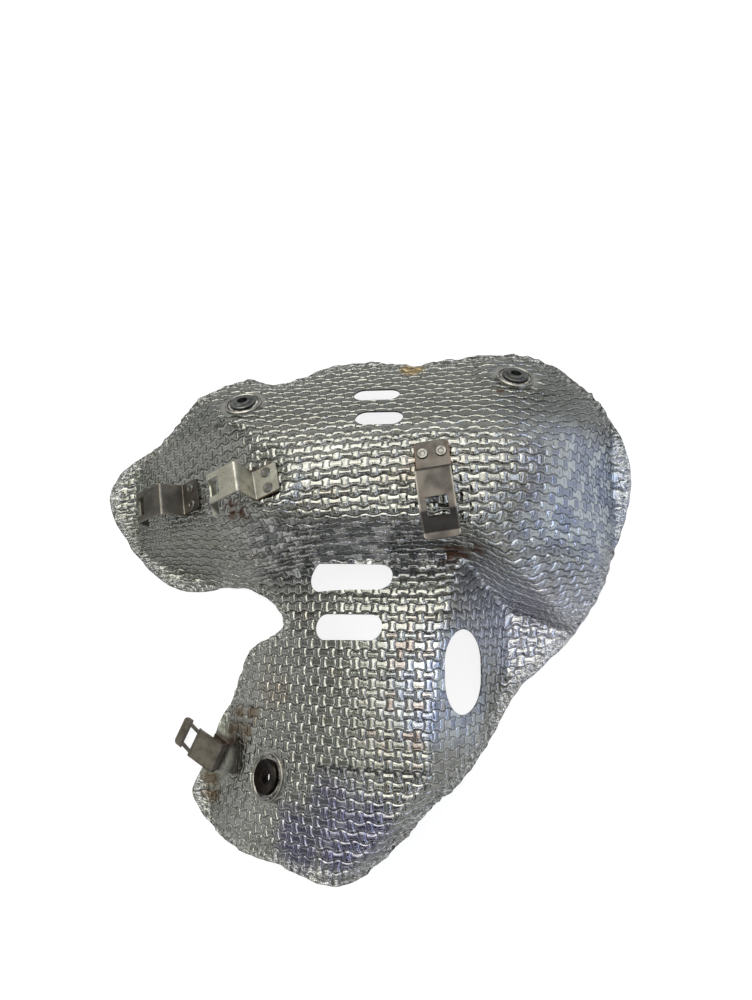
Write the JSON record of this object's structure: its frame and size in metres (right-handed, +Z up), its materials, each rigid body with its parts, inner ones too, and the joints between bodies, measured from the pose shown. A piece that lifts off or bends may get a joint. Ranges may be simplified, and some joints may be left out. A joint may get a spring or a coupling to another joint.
{
  "type": "exhaust heat shield",
  "caption": "Pressed, embossed sheet-metal heat shield with a hemmed edge, riveted spring clips, slots, an oval hole and wire-cushioned mounting bushes.",
  "frame": {"origin": "centre of the overall box in plan, at the level the shield rests on", "axes": "+X along the ridge, +Y towards the ridge's back edge, +Z up, away from the hollow side"},
  "size_m": [0.313, 0.2836, 0.1015],
  "materials": {
    "sheet_metal": "satin",
    "ring_metal": "satin",
    "knitted_wire": "satin",
    "bush_metal": "satin",
    "clip_metal": "satin",
    "rivet_metal": "satin"
  },
  "bodies": {
    "root": {"shield_sheet": "sheet_metal", "upper_left_ring": "ring_metal", "upper_left_wire_cushion": "knitted_wire", "upper_left_bush": "bush_metal", "upper_left_washer": "bush_metal", "upper_right_ring": "ring_metal", "upper_right_wire_cushion": "knitted_wire", "upper_right_bush": "bush_metal", "upper_right_washer": "bush_metal", "lower_left_ring": "ring_metal", "lower_left_wire_cushion": "knitted_wire", "lower_left_bush": "bush_metal", "lower_left_washer": "bush_metal", "left_end_clip": "clip_metal", "left_end_clip_rivets": "rivet_metal", "left_clip": "clip_metal", "left_clip_rivets": "rivet_metal", "centre_clip": "clip_metal", "centre_clip_rivets": "rivet_metal", "lower_clip": "clip_metal", "lower_clip_rivets": "rivet_metal"}
  },
  "joints": []
}
